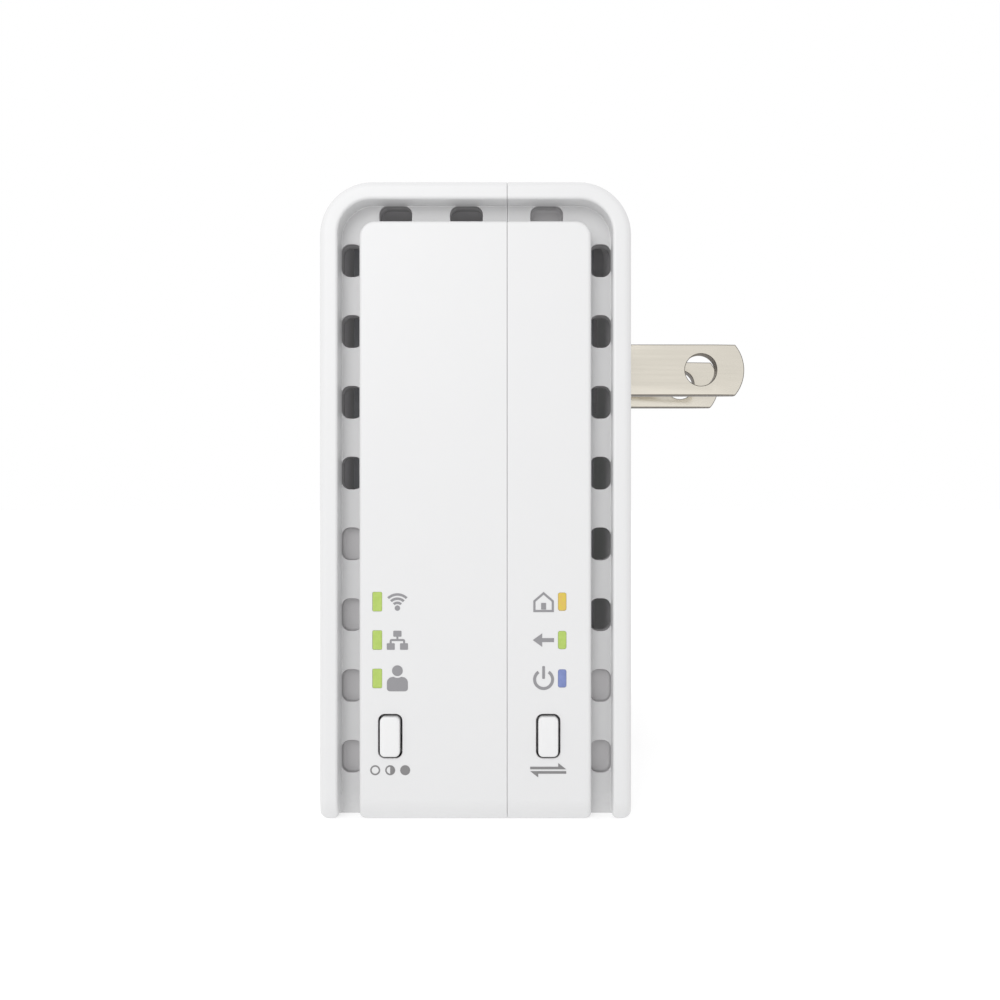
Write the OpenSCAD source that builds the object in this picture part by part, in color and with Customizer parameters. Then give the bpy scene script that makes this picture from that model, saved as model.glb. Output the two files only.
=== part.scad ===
// Plug-in powerline network adapter with side-mounted indicators and buttons.
// The origin is on the wall face, midway between the two blades. +Y points into the wall outlet,
// +Z points up, and the indicator side faces +X. Millimetres.

/* [Body] */
// Width of the body, across the blades
body_w = 54; // [53:0.5:58]
// Depth of the body, from the front face to the wall face
body_d = 31.4; // [31.2:0.1:33]
// Height of the body
body_h = 64.1; // [63.5:0.1:66]
// Height of the blades' centre line above the base
plug_z = 48.4; // [48.2:0.1:49]
// Radius of the two top corners, seen from the side
corner_r = 5.3; // [4.8:0.1:5.5]
// Radius of the two bottom corners, seen from the side
foot_r = 0.6; // [0.3:0.1:0.8]
// Radius of the side panels' upper corners
panel_corner_r = 1.6; // [1.2:0.1:1.8]
// Wall thickness of the mouldings
wall = 1.6; // [1.4:0.1:1.7]
// Distance of the parting line from the wall face
seam_d = 12.5; // [12.2:0.1:12.7]
// Gap at the parting line
seam_gap = 0.1; // [0.05:0.01:0.12]

/* [Vent channel] */
// Width of the rim outside the channel
rim_w = 1.85; // [1.7:0.05:2]
// Width of the channel
channel_w = 2.2; // [2:0.05:2.2]
// Depth of the channel
channel_depth = 2; // [1.6:0.1:2]
// Length of a vent slot
slot_l = 3.45; // [3:0.05:4]
// Width of a vent slot
slot_w = 2; // [1.7:0.05:2]
// Distance between the slots of a side row
slot_pitch = 7.26; // [7:0.02:7.3]
// Height of the first side slot above the blades' centre line
slot_top_z = 8.2; // [8:0.05:8.5]
// Number of slots in a side row
slot_count = 8; // [6:1:8]

/* [Plug blades] */
// Distance between the blades' centres
blade_gap = 12.7; // [12.6:0.05:12.8]
// Length of a blade beyond the wall face
blade_l = 17; // [15.9:0.1:18.2]
// Width of a blade
blade_w = 6.35; // [6.2:0.05:6.5]
// Thickness of a blade
blade_t = 1.52; // [1.4:0.02:1.6]
// Radius of the hole in a blade
blade_hole_r = 2; // [1.6:0.02:2]
// Distance of that hole from the blade's tip
blade_hole_d = 5.5; // [4.8:0.1:5.8]
// Radius of a blade's rounded tip
blade_tip_r = 4.9; // [4.5:0.05:6]

/* [Buttons and indicators] */
// Height of the button centres above the base
button_up = 8.43; // [8:0.01:8.9]
// Distance of the mode button's centre from the wall face
mode_button_d = 24.2; // [23.9:0.1:24.3]
// Distance of the sync button's centre from the wall face
sync_button_d = 8.4; // [8.1:0.1:8.5]
// Width of a button cap
button_w = 2; // [1.8:0.1:2.1]
// Height of a button cap
button_h = 4; // [3.6:0.05:4.2]
// Height of a cap above the panel
button_proud = 0.45; // [0.35:0.05:1]
// Gap round a button cap
button_gap = 0.2; // [0.1:0.01:0.25]
// Travel of a button
button_travel = 0.3; // [0.2:0.05:0.35]
// Height of the lowest indicator's centre above the base
indicator_up = 14.2; // [13.8:0.05:14.6]
// Distance between indicators
indicator_pitch = 3.84; // [3.7:0.02:4]
// Distance of the front indicator column from the wall face
front_indicator_d = 25.5; // [25.3:0.05:25.6]
// Distance of the rear indicator column from the wall face
rear_indicator_d = 7; // [6.9:0.05:7.2]
// Width of a front indicator window
front_window_w = 1; // [0.8:0.05:1.1]
// Width of a rear indicator window
rear_window_w = 0.8; // [0.7:0.05:1]
// Height of an indicator window
window_h = 1.9; // [1.6:0.05:2.2]

/* [Hidden] */
$fn = 48;
eps = 0.01;

top_z = body_h - plug_z;
base_z = -plug_z;
side_x = body_w / 2;
floor_x = side_x - channel_depth;
inner_x = floor_x - wall;
panel_inset = rim_w + channel_w;
base_wall = 1.8;
rear_wall = 1.8;

// The thinned area behind each side panel, where the light pipes and buttons sit.
pocket_x = side_x - wall - 0.2;
pocket_inset = panel_inset + 1;
pocket_top = -20;

// Buttons and indicators, front column first: distances from the wall face and sizes.
button_ds = [mode_button_d, sync_button_d];
button_size = [button_w, button_h];
indicator_ds = [front_indicator_d, rear_indicator_d];
indicator_sizes = [[front_window_w, window_h], [rear_window_w, window_h]];

// Slots: distances of the top row from the wall face, and the rows that are only shallow pockets.
top_slot_ds = [23.95, 16.7, 8.47];
front_blind_from = 4;
rear_blind_from = 6;
blind_depth = 0.7;
deep_blind_depth = 1.2;
slot_corner_r = 0.7;

// Housing screws: [x, z] of each, and the bosses that they pass through.
screw_at = [[-14, top_z - 5], [14, top_z - 5], [-16, base_z + 5.1], [1.5, base_z + 5.1]];
screw_r = 1.25;
screw_head_r = 2.1;
screw_head_h = 1.6;
screw_seat_d = 6;
screw_l = 14;
boss_r = 2.6;
shoulder_r = 3.4;

// Seam lip
lip_t = 0.8;
lip_l = 1.2;
lip_clearance = 0.1;

// Rating label on the wall face
label_size = [26, 20];
label_z = -24;
label_t = 0.15;
label_recess = 0.3;

// Power board, parallel to the wall face
power_board_y = -10.6;
board_rear_y = -9;
power_board_left = -22.8;
power_board_right = 17.6;
power_board_step_x = 4;
power_board_top = top_z - 2.8;
power_board_low_z = -39.5;
power_board_step_z = -27.5;

// Main board, parallel to the indicator side
main_board_x = 19;
main_board_t = 1.2;
main_board_face = main_board_x + main_board_t;
main_board_front = 2.2 - body_d;
main_board_rear = -3.2;
main_board_top = top_z - 3.4;
main_board_bottom = base_z + 2.5;
board_rib_l = 3.4;

// Ethernet jack on the main board
jack_size = [13.4, 16, 17.6];
jack_y = -15.5;
jack_front_z = base_z + 0.5;
jack_skin = 0.25;
jack_port = [6.8, 11.9];
jack_port_x = 8.2;
jack_port_depth = 12.6;
jack_notch = [[1.6, 6.4], [1.5, 3.4]];
contact_pitch = 1.02;

// Switches
switch_size = [1.9, 3, 4];
plunger_r = 0.95;
plunger_gap = 0.04;
plunger_proud = 0.8;
plunger_deep = 0.9;
flange_t = 0.9;
flange_lip = 0.7;
reset_at = [17.2, -26.7];
reset_size = [3.5, 3.4, 3];
reset_switch_z = base_z + 2.9;
reset_travel = 0.25;
reset_plunger_r = 0.7;
pinhole_r = 0.75;

// Colours
white_shell = [0.93, 0.93, 0.93];
board_green = [0.1, 0.35, 0.2];
board_grey = [0.66, 0.67, 0.69];
carrier_grey = [0.72, 0.71, 0.72];
nickel = [0.78, 0.76, 0.7];
black_resin = [0.12, 0.12, 0.13];
ferrite = [0.2, 0.2, 0.21];
copper = [0.72, 0.42, 0.2];

// ---- Helpers ----

// Extrudes a drawing in (y, z) from x0 to x1.
module along_x(x0, x1) {
    translate([x0, 0, 0]) rotate([90, 0, 90]) linear_extrude(x1 - x0) children();
}

// Extrudes a drawing in (x, z) from y0 to y1.
module along_y(y0, y1) {
    translate([0, y1, 0]) rotate([90, 0, 0]) linear_extrude(y1 - y0) children();
}

// Extrudes a drawing in (x, y) from z0 to z1.
module along_z(z0, z1) {
    translate([0, 0, z0]) linear_extrude(z1 - z0) children();
}

// A box between two opposite corners.
module box(low, high) {
    translate(low) cube(high - low);
}

// A centred rectangle with rounded corners.
module rounded_rect(size, r) {
    square([size[0] - 2 * r, size[1]], center = true);
    square([size[0], size[1] - 2 * r], center = true);
    for (sx = [-1, 1], sy = [-1, 1])
        translate([sx * (size[0] / 2 - r), sy * (size[1] / 2 - r)]) circle(r);
}

// A rounded-top outline in (y, z), inset from the body's front, top and rear, down to z_low.
module arch(inset, r, z_low) {
    front = -body_d + inset;
    rear = -inset;
    top = top_z - inset;
    translate([front, z_low]) square([rear - front, top - r - z_low]);
    translate([front + r, z_low]) square([rear - front - 2 * r, top - z_low]);
    for (y = [front + r, rear - r]) translate([y, top - r]) circle(r);
}

// The body's outline in (y, z).
module body_profile() {
    arch(0, corner_r, base_z + foot_r);
    translate([-body_d + foot_r, base_z]) square([body_d - 2 * foot_r, 2 * foot_r]);
    for (y = [-body_d + foot_r, -foot_r]) translate([y, base_z + foot_r]) circle(foot_r);
}

// The hollow's section in (x, z) at the parting line, grown by e.
module hollow_section(e) {
    low = base_z + base_wall;
    for (half = [[inner_x, top_z - wall], [pocket_x, pocket_top]])
        translate([-half[0] - e, low - e]) square([2 * (half[0] + e), half[1] - low + 2 * e]);
}

module hollow() {
    low = base_z + base_wall;
    along_x(-inner_x, inner_x) intersection() {
        arch(wall, corner_r - wall, low);
        translate([-body_d, low]) square([body_d - rear_wall, body_h]);
    }
    along_x(-pocket_x, pocket_x)
        translate([-body_d + pocket_inset, low]) square([body_d - 2 * pocket_inset, pocket_top - low]);
}

// The recessed channel round the indicator side. side is 1 for +X and -1 for -X.
module channel(side) {
    reach = channel_depth + 1;
    x0 = side > 0 ? floor_x : -floor_x - reach;
    along_x(x0, x0 + reach) difference() {
        arch(rim_w, corner_r - rim_w, base_z - 1);
        arch(panel_inset, panel_corner_r, base_z - 2);
    }
}

// One vent slot, cut inward from the channel's floor. size is its [y, z] size.
module vent_slot(side, y, z, size, depth) {
    x0 = side > 0 ? floor_x - depth : -floor_x - eps;
    along_x(x0, x0 + depth + eps) translate([y, z]) rounded_rect(size, slot_corner_r);
}

module vent_slots(side) {
    through = wall + eps;
    mid = rim_w + channel_w / 2;
    for (i = [0:slot_count - 1]) {
        z = slot_top_z - i * slot_pitch;
        vent_slot(side, -body_d + mid, z, [slot_w, slot_l], i < front_blind_from ? through : blind_depth);
        vent_slot(side, -mid, z, [slot_w, slot_l], i < rear_blind_from ? through : blind_depth);
    }
    for (i = [0:len(top_slot_ds) - 1])
        vent_slot(side, -top_slot_ds[i], top_z - mid, [slot_l, slot_w], i < 2 ? through : deep_blind_depth);
}

// Openings for the indicators and buttons of one column, 0 at the front and 1 at the rear.
module panel_openings(column) {
    along_x(inner_x - 1, side_x + 1) {
        for (i = [0:2])
            translate([-indicator_ds[column], base_z + indicator_up + i * indicator_pitch])
                square(indicator_sizes[column], center = true);
        translate([-button_ds[column], base_z + button_up])
            rounded_rect(button_size + 2 * [button_gap, button_gap], 0.5 + button_gap);
    }
}

// The opening in the base for the Ethernet jack.
module jack_opening() {
    gap = 0.15;
    box([main_board_x - jack_size[0] - gap, jack_y - jack_size[1] / 2 - gap, base_z - 1],
        [main_board_x + gap, jack_y + jack_size[1] / 2 + gap, base_z + base_wall + eps]);
}

// Pairs of short ribs that hold an edge of the main board, between the vent slots.
module board_ribs(y0, y1) {
    for (x = [main_board_x - 0.85, main_board_face + 0.05], row = [2.5, 4.5]) {
        z = slot_top_z - row * slot_pitch;
        box([x, y0, z - board_rib_l / 2], [x + 0.8, y1, z + board_rib_l / 2]);
    }
}

// ---- Housing ----

module front_housing() {
    color(white_shell) difference() {
        union() {
            difference() {
                along_x(-side_x, side_x) intersection() {
                    body_profile();
                    translate([-body_d - 1, base_z - 1])
                        square([body_d - seam_d - seam_gap / 2 + 1, body_h + 2]);
                }
                hollow();
            }
            along_y(-seam_d - seam_gap / 2 - 1, -seam_d + lip_l) difference() {
                hollow_section(lip_t);
                hollow_section(0);
            }
            for (at = screw_at)
                translate([at[0], -body_d + wall - eps, at[1]]) rotate([-90, 0, 0])
                    cylinder(r = boss_r, h = body_d - wall - seam_d - seam_gap / 2 + eps);
            board_ribs(-body_d + wall - eps, main_board_front + 1);
        }
        for (side = [-1, 1]) {
            channel(side);
            vent_slots(side);
        }
        for (column = [0, 1]) panel_openings(column);
        jack_opening();
        for (at = screw_at)
            translate([at[0], -screw_seat_d - screw_l - 1, at[1]]) rotate([-90, 0, 0])
                cylinder(r = screw_r + 0.02, h = screw_l);
        translate([reset_at[0], reset_at[1], base_z - 1]) cylinder(r = pinhole_r, h = base_wall + 2);
    }
}

module rear_housing() {
    hole_t = blade_t + 0.1;
    color(white_shell) difference() {
        union() {
            difference() {
                along_x(-side_x, side_x) intersection() {
                    body_profile();
                    translate([-seam_d + seam_gap / 2, base_z - 1]) square([seam_d, body_h + 2]);
                }
                hollow();
                along_y(-seam_d, -seam_d + lip_l + lip_clearance) hollow_section(lip_t + lip_clearance);
            }
            for (at = screw_at) translate([at[0], 0, at[1]]) rotate([90, 0, 0]) {
                translate([0, 0, rear_wall - eps])
                    cylinder(r = boss_r, h = seam_d - rear_wall - seam_gap / 2 + eps);
                translate([0, 0, rear_wall - eps])
                    cylinder(r = shoulder_r, h = -board_rear_y - rear_wall + eps);
            }
            board_ribs(main_board_rear - 1, -rear_wall + eps);
        }
        for (side = [-1, 1]) {
            channel(side);
            vent_slots(side);
        }
        panel_openings(1);
        jack_opening();
        for (at = screw_at) translate([at[0], 0, at[1]]) rotate([90, 0, 0]) {
            translate([0, 0, -1]) cylinder(r = screw_head_r + 0.3, h = screw_seat_d + 1);
            cylinder(r = screw_r + 0.2, h = seam_d + 1);
        }
        for (side = [-1, 1])
            box([side * blade_gap / 2 - hole_t / 2, -rear_wall - 1, -blade_w / 2 - 0.05],
                [side * blade_gap / 2 + hole_t / 2, 1, blade_w / 2 + 0.05]);
        along_y(-label_recess, 1) translate([0, label_z])
            rounded_rect(label_size + [0.6, 0.6], 1.3);
    }
}

module housing_screws() {
    drive_r = 1;
    color("silver") for (at = screw_at) translate([at[0], -screw_seat_d, at[1]]) rotate([90, 0, 0]) {
        difference() {
            translate([0, 0, -screw_head_h]) cylinder(r = screw_head_r, h = screw_head_h);
            for (turn = [0, 90]) rotate(turn)
                translate([-drive_r, -0.3, -screw_head_h - eps]) cube([2 * drive_r, 0.6, 0.9]);
        }
        translate([0, 0, -eps]) cylinder(r = screw_r, h = screw_l - 1);
        translate([0, 0, screw_l - 1 - eps]) cylinder(r1 = screw_r, r2 = 0.5, h = 1);
    }
}

module rating_label() {
    color([0.72, 0.73, 0.74]) along_y(-label_recess, -label_recess + label_t)
        translate([0, label_z]) rounded_rect(label_size, 1);
}

// ---- Plug ----

// A blade with its solder tab. side is -1 or 1.
module blade(side) {
    tab_w = 3;
    root_y = -7;
    tab_y = -12.2;
    taper = 0.3;
    taper_l = 3.8;
    half = blade_t / 2;
    tip_y = blade_l - blade_tip_r;
    translate([side * blade_gap / 2, 0, 0]) intersection() {
        along_x(-half, half) difference() {
            union() {
                translate([root_y, -blade_w / 2]) square([tip_y - root_y, blade_w]);
                translate([tab_y, -tab_w / 2]) square([root_y - tab_y + eps, tab_w]);
                intersection() {
                    translate([tip_y, 0]) circle(blade_tip_r);
                    translate([tip_y - eps, -blade_w / 2]) square([blade_tip_r + 1, blade_w]);
                }
            }
            translate([blade_l - blade_hole_d, 0]) circle(blade_hole_r);
        }
        along_z(-blade_w, blade_w) polygon([
            [-half, tab_y - 1], [half, tab_y - 1],
            [half, blade_l - taper_l], [half - taper, blade_l + eps],
            [taper - half, blade_l + eps], [-half, blade_l - taper_l]
        ]);
    }
}

module line_blade() {
    color(nickel) blade(1);
}

module neutral_blade() {
    color(nickel) blade(-1);
}

// The insulating block that holds both blades between the wall face and the power board.
module blade_carrier() {
    half_w = 10.5;
    half_h = 4.6;
    color(carrier_grey) difference() {
        union() {
            box([-half_w, board_rear_y, -half_h], [half_w, -rear_wall, half_h]);
            for (x = [-8.5, 8.5])
                box([x - 1.5, board_rear_y, -half_h - 1], [x + 1.5, -rear_wall, half_h + 1]);
        }
        blade(-1);
        blade(1);
    }
}

// ---- Buttons and indicators ----

module button(column) {
    cap_back = pocket_x - 0.05;
    flange_back = cap_back - flange_t;
    post_end = main_board_face + switch_size[0] + plunger_proud;
    translate([0, -button_ds[column], base_z + button_up]) {
        along_x(cap_back - eps, side_x + button_proud) rounded_rect(button_size, 0.5);
        along_x(flange_back, cap_back) rounded_rect(button_size + 2 * [flange_lip, flange_lip], 0.5);
        along_x(post_end, flange_back + eps) rounded_rect([1.8, 2.6], 0.3);
    }
}

module mode_button() {
    color("white") button(0);
}

module sync_button() {
    color("white") button(1);
}

// Three light guides on one carrier bar, behind one column of windows.
module light_pipe(column) {
    fit = 0.03;
    bar_t = 1.4;
    bar_front = pocket_x - 0.02;
    led_gap_x = main_board_face + 0.9;
    size = indicator_sizes[column] - 2 * [fit, fit];
    rows = [for (i = [0:2]) base_z + indicator_up + i * indicator_pitch];
    for (z = rows) {
        along_x(bar_front - eps, side_x - 0.02)
            translate([-indicator_ds[column], z]) square(size, center = true);
        along_x(led_gap_x, bar_front - bar_t + eps)
            translate([-indicator_ds[column], z]) square(size, center = true);
    }
    box([bar_front - bar_t, -indicator_ds[column] - 0.7, rows[0] - 1.3],
        [bar_front, -indicator_ds[column] + 0.7, rows[2] + 1.3]);
}

module front_light_pipe() {
    color([0.68, 0.84, 0.36]) light_pipe(0);
}

module rear_light_pipe() {
    color([0.95, 0.78, 0.35]) light_pipe(1);
}

// ---- Power board ----

// A part that stands on the power board's front face: drawn in (x, z), from the face to height h.
module on_power_board(at, h, lift = 0) {
    along_y(power_board_y - lift - h, power_board_y - lift) translate(at) children();
}

module power_board() {
    color(board_green) along_y(power_board_y, board_rear_y) difference() {
        polygon([
            [power_board_left, power_board_top], [power_board_right, power_board_top],
            [power_board_right, power_board_step_z], [power_board_step_x, power_board_step_z],
            [power_board_step_x, power_board_low_z], [power_board_left, power_board_low_z]
        ]);
        for (at = screw_at) translate(at) circle(boss_r + 0.1);
        for (side = [-1, 1])
            translate([side * blade_gap / 2, 0]) square([blade_t + 0.2, 3.2], center = true);
    }
}

module fuse() {
    at = [-17.7, 2.6];
    color([0.75, 0.35, 0.15]) {
        on_power_board(at, 7.2, 0.8) circle(4.1);
        for (dx = [-2.5, 2.5]) on_power_board(at + [dx, 0], 0.9) circle(0.3);
    }
}

module varistor() {
    disc_r = 4.8;
    at = [-17.6, -6.6];
    color([0.12, 0.25, 0.55]) {
        translate([at[0], power_board_y - 2 - disc_r, at[1] - 1.9]) cylinder(r = disc_r, h = 3.8);
        for (dx = [-2.5, 2.5]) on_power_board(at + [dx, 0], 3.4) circle(0.4);
    }
}

module line_filter_capacitor() {
    color([0.86, 0.72, 0.2]) on_power_board([0, 7.8], 12) rounded_rect([15, 6], 0.6);
}

// A toroid that stands on its edge.
choke_core_r = 5.6;
choke_hole_r = 2.9;
choke_core_t = 4.6;
choke_at = [-1, power_board_y - choke_core_r, -8.9];

module line_choke_core() {
    color(ferrite) translate(choke_at) difference() {
        cylinder(r = choke_core_r, h = choke_core_t, center = true);
        cylinder(r = choke_hole_r, h = choke_core_t + 1, center = true);
    }
}

// Two windings, each a row of turns round the toroid.
module line_choke_winding() {
    wire = 0.55;
    fit = 0.02;
    radial = choke_core_r - choke_hole_r + 2 * fit;
    height = choke_core_t + 2 * fit;
    color(copper) translate(choke_at) for (side = [0, 180], i = [-3:3])
        rotate(side + i * 17) translate([(choke_core_r + choke_hole_r) / 2, 0, 0]) difference() {
            cube([radial + 2 * wire, wire, height + 2 * wire], center = true);
            cube([radial, 2 * wire, height], center = true);
        }
}

module bridge_rectifier() {
    at = [-9.9, -9.6];
    color(black_resin) {
        on_power_board(at, 2.3, 0.3) square([3.9, 5], center = true);
        for (dz = [-1.4, 1.4]) on_power_board(at + [0, dz], 0.31) square([4.6, 0.9], center = true);
    }
}

module capacitor_can(at, r, h) {
    on_power_board(at, h, 0.3) circle(r);
    on_power_board(at, 0.31) circle(r - 0.7);
}

module bulk_capacitors() {
    color([0.15, 0.17, 0.2]) for (z = [-17.2, -28.4]) capacitor_can([-17.2, z], 5, 16.6);
}

module output_capacitor() {
    color([0.1, 0.22, 0.16]) capacitor_can([-5.4, -34.6], 4, 13);
}

transformer_at = [-2.6, -21.2];
transformer_base = 1.8;

// The ferrite core: a frame with a centre leg.
module transformer_core() {
    size = [16, 12.6];
    leg = 4.8;
    window = [3.2, 8.2];
    mid_y = power_board_y - transformer_base - size[1] / 2;
    color(ferrite) translate([transformer_at[0], mid_y, transformer_at[1]])
        linear_extrude(leg, center = true) difference() {
            square(size, center = true);
            for (side = [-1, 1])
                translate([side * (leg + window[0]) / 2, 0]) square(window, center = true);
        }
}

module transformer_winding() {
    leg = 4.86;
    height = 8;
    color([0.9, 0.75, 0.25])
        translate([transformer_at[0], power_board_y - transformer_base - 6.3, transformer_at[1]])
            rotate([90, 0, 0]) linear_extrude(height, center = true) difference() {
                rounded_rect([11, 12], 2);
                square(leg, center = true);
            }
}

module transformer_bobbin() {
    color(black_resin) {
        on_power_board(transformer_at, transformer_base - 0.6, 0.6) square([14.6, 13.2], center = true);
        for (x = [-5.4, -1.8, 1.8, 5.4], z = [-5.4, 5.4])
            on_power_board(transformer_at + [x, z], 0.61) square([1.2, 1.2], center = true);
    }
}

module optocoupler() {
    at = [1.4, -33.2];
    color(black_resin) {
        on_power_board(at, 3.4, 0.4) square([4, 6.2], center = true);
        for (x = [-1.2, 1.2], z = [-2.6, 2.6])
            on_power_board(at + [x, z], 0.41) square([0.6, 0.5], center = true);
    }
}

module safety_capacitor() {
    disc_r = 3.3;
    color([0.2, 0.45, 0.75]) {
        translate([0, power_board_y - 1.8 - disc_r, -3.4]) cylinder(r = disc_r, h = 2.6);
        for (dx = [-1.8, 1.8]) on_power_board([dx, -2.1], 2.9) circle(0.35);
    }
}

module coupling_transformer() {
    color([0.25, 0.25, 0.27]) on_power_board([11.4, 0], 5.6) rounded_rect([5.8, 7.6], 0.5);
}

// A right-angle header that joins the two boards.
module board_header() {
    rows = [for (i = [0:5]) -21.35 + 2.54 * i];
    color([0.3, 0.3, 0.3]) {
        on_power_board([16.2, -15], 2.5) square([2.4, 15], center = true);
        for (z = rows)
            box([17.3, power_board_y - 1.55, z - 0.3], [main_board_x, power_board_y - 0.95, z + 0.3]);
    }
}

// ---- Main board ----

module main_board() {
    color(board_grey) box([main_board_x, main_board_front, main_board_bottom],
                          [main_board_face, main_board_rear, main_board_top]);
}

// A block on the main board's inner face, centred at [y, z].
module on_main_board(at, size, lift = 0) {
    box([main_board_x - lift - size[0], at[0] - size[1] / 2, at[1] - size[2] / 2],
        [main_board_x - lift, at[0] + size[1] / 2, at[1] + size[2] / 2]);
}

chip_at = [-20.6, -12.5];

module powerline_chip() {
    color(black_resin) on_main_board(chip_at, [1.1, 10, 10]);
}

module thermal_pad() {
    color([0.45, 0.6, 0.7]) on_main_board(chip_at, [0.5, 9.4, 9.4], 1.1);
}

module heat_sink() {
    base_t = 1.4;
    fin_h = 5;
    size = [13, 14];
    fins = 6;
    lift = 1.6;
    color([0.7, 0.71, 0.72]) {
        on_main_board(chip_at, [base_t, size[0], size[1]], lift);
        for (i = [0:fins - 1])
            on_main_board([chip_at[0] + (i - (fins - 1) / 2) * (size[0] - 1) / (fins - 1), chip_at[1]],
                          [fin_h + eps, 1, size[1]], lift + base_t - eps);
    }
}

module radio_shield() {
    at = [-19.6, 0.1];
    skin = 0.2;
    size = [2, 15, 10.6];
    color([0.75, 0.76, 0.77]) difference() {
        on_main_board(at, size);
        on_main_board(at, size - [skin, 2 * skin, 2 * skin], -eps);
    }
}

module ethernet_magnetics() {
    color(black_resin) on_main_board([-17.6, -25.6], [2.2, 12.6, 5.4]);
}

module memory_chip() {
    color(black_resin) on_main_board([-8.4, -4.5], [1, 5.2, 8]);
}

module crystal() {
    color("silver") on_main_board([-8.4, -12.4], [1.1, 3.2, 2.5]);
}

module indicator_leds() {
    size = [0.8, 0.8, 1.6];
    low = base_z + indicator_up - size[2] / 2;
    color("ivory") for (d = indicator_ds, i = [0:2])
        translate([main_board_face, -d - size[1] / 2, low + i * indicator_pitch]) cube(size);
}

// A push switch on the board's outer face, with the well that its plunger slides in.
module switch_body(column) {
    translate([main_board_face, -button_ds[column], base_z + button_up]) difference() {
        translate([0, -switch_size[1] / 2, -switch_size[2] / 2]) cube(switch_size);
        translate([switch_size[0] - plunger_deep - button_travel - 0.1, 0, 0]) rotate([0, 90, 0])
            cylinder(r = plunger_r + plunger_gap, h = switch_size[0]);
    }
}

module switch_plunger(column) {
    translate([main_board_face + switch_size[0] - plunger_deep, -button_ds[column], base_z + button_up])
        rotate([0, 90, 0]) cylinder(r = plunger_r, h = plunger_deep + plunger_proud);
}

module mode_switch() {
    color("silver") switch_body(0);
}

module mode_switch_plunger() {
    color(black_resin) switch_plunger(0);
}

module sync_switch() {
    color("silver") switch_body(1);
}

module sync_switch_plunger() {
    color(black_resin) switch_plunger(1);
}

// The reset switch faces down, over its pinhole in the base.
module reset_switch() {
    color("silver") difference() {
        box([main_board_x - reset_size[0], reset_at[1] - reset_size[1] / 2, reset_switch_z],
            [main_board_x, reset_at[1] + reset_size[1] / 2, reset_switch_z + reset_size[2]]);
        translate([reset_at[0], reset_at[1], reset_switch_z - eps])
            cylinder(r = reset_plunger_r + plunger_gap, h = 1.3 + reset_travel);
    }
}

module reset_switch_plunger() {
    color(black_resin) translate([reset_at[0], reset_at[1], reset_switch_z - 0.6])
        cylinder(r = reset_plunger_r, h = 1.8);
}

// ---- Ethernet jack ----

// The port's clear section in (x, y), with its latch notch on the board side.
module port_section() {
    translate([jack_port_x, jack_y - jack_port[1] / 2]) square(jack_port);
    step_x = jack_port_x + jack_port[0];
    translate([step_x - eps, jack_y - jack_notch[0][1] / 2]) square(jack_notch[0] + [eps, 0]);
    translate([step_x + jack_notch[0][0] - eps, jack_y - jack_notch[1][1] / 2])
        square(jack_notch[1] + [eps, 0]);
}

module jack_block(skin) {
    box([main_board_x - jack_size[0] + skin, jack_y - jack_size[1] / 2 + skin, jack_front_z + skin],
        [main_board_x, jack_y + jack_size[1] / 2 - skin, jack_front_z + jack_size[2] - skin]);
}

module ethernet_jack_shield() {
    color([0.76, 0.77, 0.78]) difference() {
        jack_block(0);
        box([main_board_x - jack_size[0] + jack_skin, jack_y - jack_size[1] / 2 + jack_skin,
             jack_front_z + jack_skin],
            [main_board_x + 1, jack_y + jack_size[1] / 2 - jack_skin,
             jack_front_z + jack_size[2] - jack_skin]);
        along_z(jack_front_z - 1, jack_front_z + 1) port_section();
    }
}

module ethernet_jack_body() {
    color(black_resin) difference() {
        jack_block(jack_skin);
        along_z(jack_front_z, jack_front_z + jack_port_depth) port_section();
    }
}

// Eight spring contacts, each a wire that slants across the port's inner side.
module ethernet_jack_contacts() {
    wire = [0.3, 0.42];
    slant_l = 9.4;
    slant = 8;
    color([0.85, 0.68, 0.25]) for (i = [-3.5:3.5])
        translate([jack_port_x + 0.35, jack_y + i * contact_pitch - wire[1] / 2, jack_front_z + 1.6])
            rotate([0, slant, 0]) cube([wire[0], wire[1], slant_l]);
}

// ---- Antennas ----

antenna_t = 0.8;
upper_antenna_z = top_z - wall - 0.1;
front_antenna_y = -body_d + wall + 0.1;

module upper_antenna() {
    color(board_grey) box([-10, -25.5, upper_antenna_z - antenna_t], [10, -18.5, upper_antenna_z]);
}

module front_antenna() {
    color(board_grey) box([-12, front_antenna_y, -44], [-2, front_antenna_y + antenna_t, -30]);
}

lead_r = 0.55;

// A plug on the main board at [y, z], and the start of its lead, which runs to x_end.
module antenna_plug(at, x_end) {
    plug_h = 1.6;
    translate([0, at[0], at[1]]) rotate([0, -90, 0]) {
        translate([0, 0, -main_board_x]) cylinder(r = 1.25, h = plug_h);
        translate([0, 0, plug_h - main_board_x - eps])
            cylinder(r = lead_r, h = main_board_x - plug_h - x_end + 2 * eps);
    }
}

// Coaxial leads: one bends up to the upper antenna, one runs straight to the front one.
module antenna_leads() {
    bend_r = 2.5;
    upper_at = [-23.8, 7];
    bend_x = 12;
    color([0.2, 0.2, 0.22]) {
        antenna_plug(upper_at, bend_x);
        translate([bend_x, upper_at[0], upper_at[1] + bend_r]) rotate([90, 0, 0])
            rotate([0, 0, 180]) rotate_extrude(angle = 90) translate([bend_r, 0]) circle(lead_r);
        translate([bend_x - bend_r, upper_at[0], upper_at[1] + bend_r - eps])
            cylinder(r = lead_r, h = upper_antenna_z - antenna_t - upper_at[1] - bend_r + eps);
        antenna_plug([front_antenna_y + antenna_t + lead_r, -37], -4);
    }
}

// ---- Assembly ----

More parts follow.
